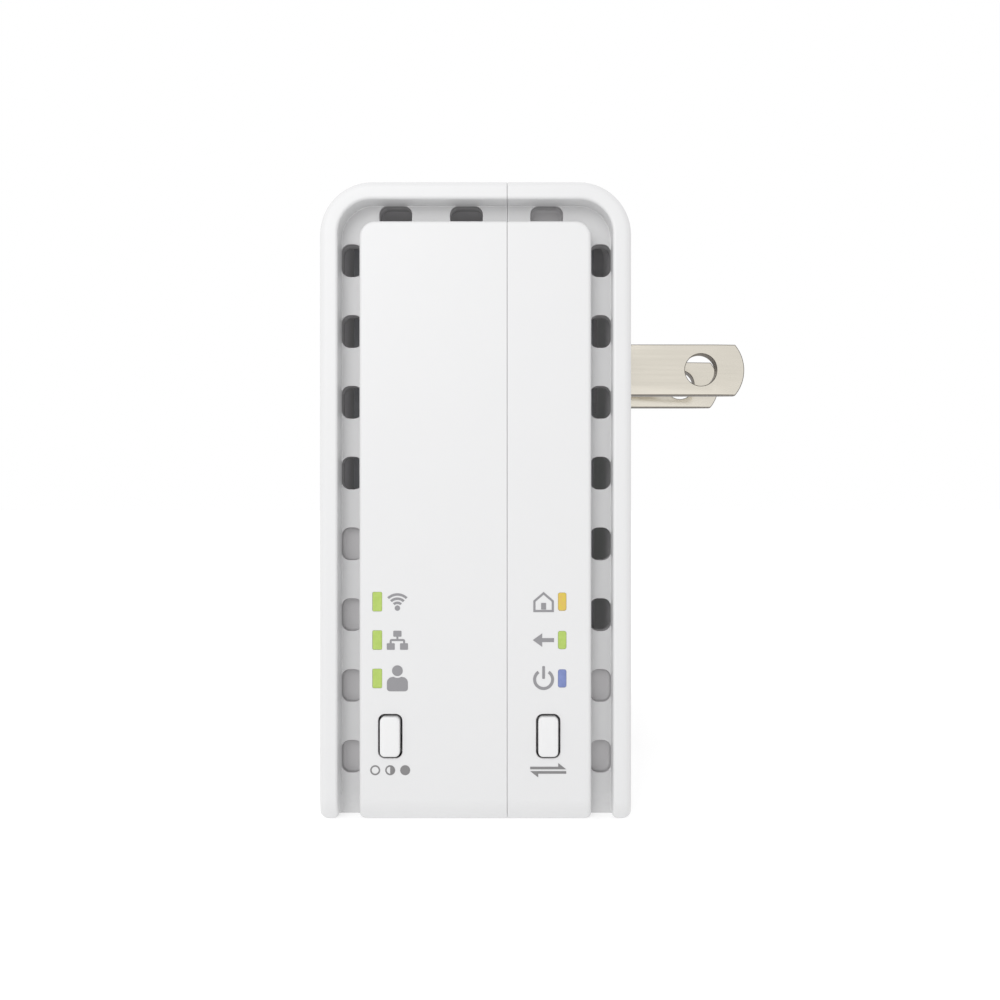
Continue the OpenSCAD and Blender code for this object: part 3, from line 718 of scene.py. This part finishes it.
def rear_housing():
    """The shallower half, with the wall face and the rear part of the panel."""
    shell = body_half(REAR, -1, REAR - REAR_SEAM)
    piece = new_piece("rear_housing_shell", shell, shell_white, "body", ["rear_housing"])
    piece.data.materials.append(channel_shaded_white)
    for tool in hollow_tools(REAR, -1, REAR_WALL):
        combine(piece, tool, "DIFFERENCE", shell_inside)
    combine(piece, lip_tool(REAR_SEAM, LIP_PLAY), "DIFFERENCE")
    combine(piece, post_tools(BOSS_R, REAR_SEAM, -REAR_WALL + 0.4), "UNION")
    combine(piece, post_tools(SHOULDER_R, SHOULDER_Y, -REAR_WALL + 0.35), "UNION")
    combine(piece, counterbore_tools(), "DIFFERENCE")
    combine(piece, vent_tools(REAR, -1, REAR_OPEN_ROWS, REAR_TOP_SLOTS), "DIFFERENCE", slot_painted_shade)
    combine(piece, panel_tools(1, "sync_button"), "DIFFERENCE", opening_painted_shade)
    combine(piece, jack_tool(), "DIFFERENCE")
    combine(piece, wall_face_tools(), "DIFFERENCE")
    return piece


def wall_face_tools():
    """The blade openings and the label's recess, in the wall face."""
    bm = bmesh.new()
    for node in ("line_blade", "neutral_blade"):
        low, high = span(node)
        x = (low.x + high.x) / 2
        width, height = high.x - low.x + BLADE_PLAY, high.z - low.z + BLADE_PLAY
        rings = ((CUT, 0.12), (0, 0.12), (-0.04, 0.04), (-0.12, 0), (-REAR_WALL - 0.5, 0))
        loft(bm, [on_wall(rounded(width + 2 * g, height + 2 * g, 0.15 + g, 3), x, 0, y) for y, g in rings])
    low, high = span("rating_label")
    x, z = (low.x + high.x) / 2, (low.z + high.z) / 2
    width, height = high.x - low.x + LABEL_PLAY, high.z - low.z + LABEL_PLAY
    rings = ((CUT, 0.06), (0, 0.06), (-0.06, 0), (-0.3, 0))
    loft(bm, [on_wall(rounded(width + 2 * g, height + 2 * g, 1.3 + g), x, z, y) for y, g in rings])
    return bm


# ---- Buttons, light guides and printed marks ----

CAP_BACK = POCKET_X - 0.05
FLANGE_BACK = CAP_BACK - 0.9
CAP_CORNER = 0.48
CAP_FILLET = 0.16
CAP_CROWN = 0.04

GUIDE_FRONT = POCKET_X - 0.02
GUIDE_BACK = POCKET_X - 1.42
GUIDE_BAR_W = 1.4
GUIDE_BAR_END = 0.35

# The symbols stand beside their windows and the marks below their buttons, by these distances.
INK = 0.02
FRONT_MARK_Y = 2.02
REAR_MARK_Y = -1.86
MARK_DROP = 3.4


def button(node, body):
    """A cap with a soft edge on its flange and post, as one moulding."""
    low, high = span(node)
    y, z, width, height = button_place(node)
    face = high.x
    post = (1.8, 2.6, 0.3)
    flange = (width + 1.4, height + 1.4, 0.55)
    flange_edge = (width + 1.3, height + 1.3, 0.5)
    steps = [(low.x, 1.5, 2.3, 0.2), (low.x + 0.15, *post), (FLANGE_BACK, *post), (FLANGE_BACK, *flange_edge),
             (FLANGE_BACK + 0.05, *flange), (CAP_BACK - 0.05, *flange), (CAP_BACK, *flange_edge),
             (CAP_BACK, width, height, CAP_CORNER)]
    for i in range(7):
        a = math.radians(15 * i)
        back = CAP_FILLET * (1 - math.cos(a))
        steps.append((face - CAP_CROWN - CAP_FILLET * (1 - math.sin(a)), width - 2 * back, height - 2 * back,
                      CAP_CORNER - 0.6 * back))
    for share in (0.25, 0.5, 0.75):
        inset = 2 * CAP_FILLET + share * (width - 2 * CAP_FILLET - 0.5)
        steps.append((face - CAP_CROWN * (1 - share) ** 2, width - inset, height - inset,
                      min(CAP_CORNER - 0.6 * CAP_FILLET, (width - inset) / 2 - 0.02)))
    bm = bmesh.new()
    loft(bm, [on_side(rounded(w, h, r), y, z, x) for x, w, h, r in steps])
    piece = new_piece(node + "_cap", bm, button_white, body, [node], smooth=35)
    weigh_normals(piece)


def light_guide(node, column, lights):
    """Three guides on their bar. lights gives each lit finish, from the lowest window up."""
    back_x = span(node)[0].x
    windows = WINDOWS[column]
    y = windows[0][0]
    end = WINDOWS[0][0][3] / 2 + GUIDE_BAR_END
    bar_low, bar_high = windows[0][1] - end, windows[-1][1] + end
    middle, length = (bar_low + bar_high) / 2, bar_high - bar_low
    ends = ((GUIDE_BACK, -0.1), (GUIDE_BACK + 0.1, 0), (GUIDE_FRONT - 0.1, 0), (GUIDE_FRONT, -0.1))
    bm = bmesh.new()
    loft(bm, [on_side(rounded(GUIDE_BAR_W + 2 * g, length + 2 * g, 0.2), y, middle, x) for x, g in ends])
    piece = new_piece(node + "_guides", bm, guide_clear, "body", [node])
    tip_rings = ((GUIDE_FRONT - 0.3, 0), (SIDE - 0.06, 0), (SIDE - 0.03, -0.01), (SIDE - 0.015, -0.03),
                 (SIDE - 0.01, -0.08))
    for (y, z, width, height), light in zip(windows, lights):
        tip = bmesh.new()
        loft(tip, [on_side(rounded(width + 2 * g, height + 2 * g, WINDOW_R[column] + g), y, z, x)
                   for x, g in tip_rings])
        combine(piece, tip, "UNION", light)
        root = bmesh.new()
        loft(root, [on_side(rounded(width, height, 0.1), y, z, x) for x in (back_x, GUIDE_BACK + 0.3)])
        combine(piece, root, "UNION", guide_clear)
    shade(piece, 40)


def print_shape(bm, outline, y, z, hole=None):
    """A flat printed shape on the panel, with its outline in (y, z) about y, z.

    hole is an outline of as many points.
    """
    rows = []
    for x in (SIDE - 0.01, SIDE + INK):
        rows.append([bm.verts.new(p) for p in on_side(outline, y, z, x)])
        if hole:
            rows.append([bm.verts.new(p) for p in on_side(hole, y, z, x)])
    if hole:
        order = ((0, 2), (2, 3), (3, 1), (1, 0))
    else:
        order = ((0, 1),)
        bm.faces.new(rows[0])
        bm.faces.new(rows[1])
    join_rows(bm, rows, order)


def join_rows(bm, rows, order):
    """Joins pairs of closed rows of vertices with faces."""
    count = len(rows[0])
    for a, b in order:
        for i in range(count):
            j = (i + 1) % count
            bm.faces.new((rows[a][i], rows[a][j], rows[b][j], rows[b][i]))


def bar(width, height, at=(0, 0)):
    w, h = width / 2, height / 2
    return [(at[0] + u, at[1] + v) for u, v in ((-w, -h), (w, -h), (w, h), (-w, h))]


def soft_box(width, height, at):
    return [(at[0] + u, at[1] + v) for u, v in rounded(width, height, 0.08, 3)]


def band(radius, stroke, start, end, steps=20):
    """An arc with a stroke's width, as a closed outline."""
    outer = arc((0, 0), radius + stroke / 2, start, end, steps)
    return outer + arc((0, 0), radius - stroke / 2, end, start, steps)


def offset_outline(points, distance):
    """A closed outline moved sideways, to its left for a positive distance, with mitred corners."""
    moved = []
    count = len(points)
    for i in range(count):
        before, here, after = (Vector(points[(i + k) % count]) for k in (-1, 0, 1))
        n1 = (here - before).normalized().orthogonal()
        n2 = (after - here).normalized().orthogonal()
        miter = (n1 + n2) / (1 + n1.dot(n2))
        moved.append(tuple(here + miter * distance))
    return moved


# The symbols are drawn about y, z, in millimetres.

def wireless_symbol(bm, y, z):
    """A dot under three arcs."""
    dot = z - 0.64
    print_shape(bm, circle(0.27, 24), y, dot)
    for radius in (0.53, 0.94, 1.36):
        print_shape(bm, band(radius, 0.25, 47, 133), y, dot)


def network_symbol(bm, y, z):
    """One box over two, joined by a line."""
    print_shape(bm, soft_box(0.82, 0.6, (0, 0.64)), y, z)
    for side in (-1, 1):
        print_shape(bm, soft_box(0.8, 0.66, (side * 0.66, -0.64)), y, z)
    right = [(0.1, 0.34), (0.1, 0.11), (0.6, 0.11), (0.72, 0.06), (0.77, -0.06), (0.77, -0.31), (0.57, -0.31),
             (0.57, -0.1)]
    print_shape(bm, right + [(-u, v) for u, v in reversed(right)], y, z)


def person_symbol(bm, y, z):
    """A head over shoulders."""
    head = 0.78
    print_shape(bm, circle(0.54, 28), y, z + head)
    body = arc((0.48, -0.42), 0.57, 0, 75, 7)
    body += [(u, v + head) for u, v in arc((0, 0), 0.72, -58, -122, 8)]
    body += arc((-0.48, -0.42), 0.57, 105, 180, 7)
    body += arc((-0.75, -0.98), 0.3, 180, 270, 5) + arc((0.75, -0.98), 0.3, 270, 360, 5)
    print_shape(bm, body, y, z)


def house_symbol(bm, y, z):
    """A house's outline with a door."""
    outline = [(-0.92, -0.93), (0.92, -0.93), (0.92, 0.05), (0, 0.84), (-0.92, 0.05)]
    print_shape(bm, offset_outline(outline, -0.11), y, z, offset_outline(outline, 0.11))
    print_shape(bm, bar(0.5, 0.66, (0, -0.45)), y, z)


def arrow_symbol(bm, y, z):
    """An arrow that points to the front."""
    lower = [(-0.14, -0.68), (-0.14, -0.2), (1.04, -0.2)]
    print_shape(bm, [(-1.08, 0)] + lower + [(u, -v) for u, v in reversed(lower)], y, z)


def power_symbol(bm, y, z):
    """A broken ring with a bar in its gap."""
    print_shape(bm, band(0.9, 0.3, 124, 416, 44), y, z - 0.1)
    print_shape(bm, soft_box(0.28, 1.28, (0, 0.6)), y, z)


def mode_symbol(bm, y, z):
    """Three dots: empty, half full and full, for the modes that the button steps through."""
    r, inner_r = 0.5, 0.35
    for i in (-1, 0, 1):
        at = y + 1.5 * i
        if i == 1:
            print_shape(bm, circle(r), at, z)
            continue
        print_shape(bm, circle(r), at, z, circle(inner_r))
        if i == 0:
            print_shape(bm, arc((0, 0), inner_r + 0.01, -90, 90, 16), at, z)


def sync_symbol(bm, y, z):
    """Two arrows that point opposite ways, for pairing."""
    arrow = [(1.8, -0.13), (1.0, 0.5), (1.0, 0.13), (-1.8, 0.13), (-1.8, -0.13)]
    for side in (-1, 1):
        print_shape(bm, [(side * u, side * v) for u, v in arrow], y, z + side * 0.22)


def printed_marks():
    """The symbols beside the windows, and a mark under each button."""
    rows = [z for _, z, _, _ in WINDOWS[0]]
    front_y, rear_y = WINDOWS[0][0][0] + FRONT_MARK_Y, WINDOWS[1][0][0] + REAR_MARK_Y
    for name, symbols, y in (("front_symbols", (person_symbol, network_symbol, wireless_symbol), front_y),
                             ("rear_symbols", (power_symbol, arrow_symbol, house_symbol), rear_y)):
        bm = bmesh.new()
        for z, symbol in zip(rows, symbols):
            symbol(bm, y, z)
        new_piece(name, bm, ink_grey)
    for node, symbol in (("mode_button", mode_symbol), ("sync_button", sync_symbol)):
        y, z, _, _ = button_place(node)
        bm = bmesh.new()
        symbol(bm, y, z - MARK_DROP)
        new_piece(node + "_mark", bm, ink_dark)


# ---- Plug blades, screws and label ----

BLADE_TIP_R = 4.9
BLADE_TAPER = 0.3
BLADE_TAPER_L = 3.8
BLADE_HOLE = 5.5
BLADE_HOLE_R = 2.0
BLADE_BEVEL = 0.1
BLADE_ROOT_Y = -7
BLADE_TAB = 1.5

SCREW_L = 14
THREAD_ROOT_R = 0.95
THREAD_CREST_R = 1.22
THREAD_PITCH = 0.7
HEAD_R = 2.1

LABEL_MARGIN = 0.7
LABEL_LINE = 0.2


def blade(node):
    """A flat blade with a round tip, thinner towards its end, and a hole with countersunk edges."""
    low, high = span(node)
    middle, half_t = (low.x + high.x) / 2, (high.x - low.x) / 2
    half_w, tip = high.z, high.y
    bend = tip - BLADE_TAPER_L

    def outline(inset):
        w, r, tab = half_w - inset, BLADE_TIP_R - inset, BLADE_TAB - inset
        corner = math.degrees(math.asin(w / r))
        tab_y, root_y = low.y + inset, BLADE_ROOT_Y + inset
        points = [(tab_y, -tab), (root_y, -tab), (root_y, -w), (bend, -w)]
        points += arc((tip - BLADE_TIP_R, 0), r, -corner, corner, 24)
        return points + [(bend, w), (root_y, w), (root_y, tab), (tab_y, tab)]

    bm = bmesh.new()
    b = BLADE_BEVEL
    layers = ((-half_t, b), (-half_t + 0.3 * b, 0.3 * b), (-half_t + b, 0), (half_t - b, 0),
              (half_t - 0.3 * b, 0.3 * b), (half_t, b))
    rows = loft(bm, [[(x, y, z) for y, z in outline(inset)] for x, inset in layers])
    for row in (rows[0], rows[-1]):
        face = next(f for f in row[0].link_faces if len(f.verts) == len(row))
        ends = [v for v in row if abs(v.co.y - bend) < 1e-6]
        bmesh.utils.face_split(face, ends[0], ends[1])
    # Edge faces take the dark edge finish, which is partly painted shade.
    for face in bm.faces:
        face.material_index = 0 if len(face.verts) > 4 else 1
    for v in bm.verts:
        thin = BLADE_TAPER * max(0, v.co.y - bend) / BLADE_TAPER_L
        v.co.x = middle + v.co.x * (1 - thin / half_t)
    piece = new_piece(node + "_detail", bm, nickel, "body", [node])
    piece.data.materials.append(nickel_edge_and_shade)
    hole = bmesh.new()
    reach = half_t + 0.2
    rings = ((-reach, 0.3), (-half_t + 0.08, 0), (half_t - 0.08, 0), (reach, 0.3))
    loft(hole, [on_side(circle(BLADE_HOLE_R + g, 48), tip - BLADE_HOLE, 0, middle + x) for x, g in rings])
    combine(piece, hole, "DIFFERENCE", nickel_edge_and_shade)
    shade(piece, 25)


def screws():
    """Pan heads with a cross recess, and threaded shanks."""
    profile = [(0.4, SEAT_Y - SCREW_L), (1.0, SEAT_Y - SCREW_L + 0.8)]
    y = SEAT_Y - SCREW_L + 1
    while y < SEAT_Y - 0.8:
        profile += [(THREAD_ROOT_R, y), (THREAD_CREST_R, y + 0.22), (THREAD_ROOT_R, y + 0.44)]
        y += THREAD_PITCH
    profile += [(1.0, SEAT_Y - 0.2), (1.0, SEAT_Y), (HEAD_R - 0.15, SEAT_Y), (HEAD_R, SEAT_Y + 0.15)]
    for a in (0, 15, 30, 45, 60, 75):
        a = math.radians(a)
        profile.append((HEAD_R * math.cos(a), SEAT_Y + 0.7 + 0.9 * math.sin(a)))
    bm = bmesh.new()
    for x, z in SCREWS:
        loft(bm, [on_wall(circle(r, 28), x, z, y) for r, y in profile])
    piece = new_piece("housing_screws_detail", bm, steel, "body", ["housing_screws"])
    for turn in (0, 90):
        cross = bmesh.new()
        for x, z in SCREWS:
            rings = []
            for y, w, l in ((SEAT_Y + 2, 0.52, 2.2), (SEAT_Y + 1.5, 0.5, 2.1), (SEAT_Y + 0.75, 0.3, 1.1)):
                rings.append(on_wall(bar(w, l) if turn else bar(l, w), x, z, y))
            loft(cross, rings)
        # The cross recesses take the painted shade finish.
        combine(piece, cross, "DIFFERENCE", recess_painted_shade)
    shade(piece, 35)


def label():
    """A blank plate with a printed frame and two rules."""
    low, high = span("rating_label")
    x, z = (low.x + high.x) / 2, (low.z + high.z) / 2
    width, height = high.x - low.x, high.z - low.z
    plate = bmesh.new()
    rings = ((low.y, -0.02), (low.y + 0.02, 0), (high.y - 0.03, 0), (high.y, -0.03))
    loft(plate, [on_wall(rounded(width + 2 * g, height + 2 * g, 1), x, z, y) for y, g in rings])
    new_piece("rating_label_plate", plate, label_film, "body", ["rating_label"])

    marks = bmesh.new()
    back, front = high.y - 0.005, high.y + 0.015

    def stood(inset, radius):
        outline = rounded(width - 2 * inset, height - 2 * inset, radius)
        return [[marks.verts.new(p) for p in on_wall(outline, x, z, y)] for y in (back, front)]

    outer, inner = stood(LABEL_MARGIN, 0.6), stood(LABEL_MARGIN + LABEL_LINE, 0.4)
    join_rows(marks, outer + inner, ((0, 1), (1, 3), (3, 2), (2, 0)))
    for row in (0.25, -0.2):
        rule = bar(width - 3.2, 0.18)
        loft(marks, [on_wall(rule, x, z + row * height, y) for y in (back, front)])
    new_piece("rating_label_frame", marks, ink_grey)


# ---- Finishes of the pieces inside, which stay as their CAD nodes ----

def paint(finish, *names):
    for name in names:
        materials = nodes[name].data.materials
        materials.clear()
        materials.append(finish)


def paint_inside():
    # The blade carrier inside the hollow carries a painted glow too.
    carrier = painted_glow(plain("carrier_resin", (0.5, 0.49, 0.5), 0.5), 0.03)
    resin = plain("black_resin", (0.022, 0.022, 0.024), 0.45)
    tin = plated("tin_plate", (0.72, 0.73, 0.74), 0.3)
    laminate = plain("main_laminate", (0.4, 0.41, 0.43), 0.5)
    plunger = plain("plunger", (0.06, 0.06, 0.06), 0.5)
    paint(carrier, "blade_carrier")
    paint(resin, "bridge_rectifier", "optocoupler", "board_header", "powerline_chip", "ethernet_magnetics",
          "memory_chip", "antenna_leads", "ethernet_jack_body", "transformer_bobbin", "coupling_transformer")
    paint(tin, "radio_shield", "ethernet_jack_shield", "crystal")
    paint(tin, "mode_switch", "sync_switch", "reset_switch")
    paint(laminate, "main_board", "upper_antenna", "front_antenna")
    paint(plunger, "mode_switch_plunger", "sync_switch_plunger", "reset_switch_plunger")
    paint(plated("sink_aluminium", (0.62, 0.63, 0.65), 0.4), "heat_sink")
    paint(plain("copper_wire", (0.75, 0.34, 0.14), 0.3, 1.0), "line_choke_winding")
    paint(plain("ferrite", (0.035, 0.036, 0.038), 0.6), "transformer_core", "line_choke_core")
    paint(plain("yellow_tape", (0.78, 0.6, 0.08), 0.4), "transformer_winding")
    paint(plain("power_laminate", (0.08, 0.2, 0.1), 0.4), "power_board")
    paint(plain("fuse_brown", (0.16, 0.07, 0.03), 0.4), "fuse")
    paint(plain("blue_coating", (0.03, 0.12, 0.45), 0.35), "varistor", "safety_capacitor")
    paint(plain("yellow_film", (0.8, 0.62, 0.1), 0.4), "line_filter_capacitor")
    paint(plain("capacitor_sleeve", (0.05, 0.05, 0.07), 0.35), "bulk_capacitors", "output_capacitor")
    paint(plain("thermal_pad", (0.45, 0.55, 0.6), 0.8), "thermal_pad")
    paint(plain("led_body", (0.8, 0.78, 0.6), 0.4), "indicator_leds")
    paint(plain("contact_gold", (0.9, 0.62, 0.2), 0.25, 1.0), "ethernet_jack_contacts")


# ---- Stage: floor, light and camera ----

GROUND = 3000
GROUND_DROP = 0.05
GROUND_GLOW = 0.55
KEY_PLACE = (240, -112, 120)
KEY_TARGET = (27, -15, -15)
KEY_SIZE = 180
KEY_POWER = 0.27
EYE = Vector((106.7, -11.62, -16.65))
LENS = 28.692
SHIFT = (-0.016, 0.003)


def build_floor():
    """A pale floor that glows a little, as a lit table does, just clear of the base."""
    bm = bmesh.new()
    corners = ((-GROUND, -GROUND), (GROUND, -GROUND), (GROUND, GROUND), (-GROUND, GROUND))
    bm.faces.new([bm.verts.new((x, y, BASE - GROUND_DROP)) for x, y in corners])
    floor = bpy.data.objects.new("floor", new_mesh(bm))
    bpy.context.scene.collection.objects.link(floor)
    made, _, shader = material("floor_white", (0.5, 0.5, 0.5), 0.9)
    shader.inputs["Emission Color"].default_value = (1, 1, 1, 1)
    shader.inputs["Emission Strength"].default_value = GROUND_GLOW
    floor.data.materials.append(made)


def build_world():
    """Even white light from all round."""
    world = bpy.data.worlds.new("studio")
    world.use_nodes = True
    background = world.node_tree.nodes["Background"]
    background.inputs["Color"].default_value = (1, 1, 1, 1)
    background.inputs["Strength"].default_value = 1.0
    bpy.context.scene.world = world


def build_key_light():
    """A soft light above the indicator side and in front of it."""
    data = bpy.data.lights.new("key", "AREA")
    data.size = KEY_SIZE * MM
    data.energy = KEY_POWER
    light = bpy.data.objects.new("key", data)
    light.location = Vector(KEY_PLACE) * MM
    light.rotation_euler = (Vector(KEY_TARGET) - Vector(KEY_PLACE)).to_track_quat("-Z", "Y").to_euler()
    bpy.context.scene.collection.objects.link(light)


def build_camera():
    """Level, square to the indicator side."""
    data = bpy.data.cameras.new("camera")
    data.sensor_width = 36
    data.lens = LENS
    data.shift_x, data.shift_y = SHIFT
    data.clip_start = 0.001
    camera = bpy.data.objects.new("camera", data)
    camera.location = EYE * MM
    camera.rotation_euler = Euler((math.pi / 2, 0, math.pi / 2))
    bpy.context.scene.collection.objects.link(camera)
    bpy.context.scene.camera = camera


# ---- Build ----

for shell in (front_housing(), rear_housing()):
    shade(shell, 28)
    weigh_normals(shell)
for node in ("mode_button", "sync_button"):
    button(node, node)
light_guide("front_light_pipe", 0, (lens_green, lens_green, lens_green))
light_guide("rear_light_pipe", 1, (lens_blue, lens_green, lens_amber))
printed_marks()
for node in ("line_blade", "neutral_blade"):
    blade(node)
screws()
label()
paint_inside()

build_floor()
build_world()
build_key_light()
build_camera()
bpy.context.scene.view_settings.view_transform = "Standard"
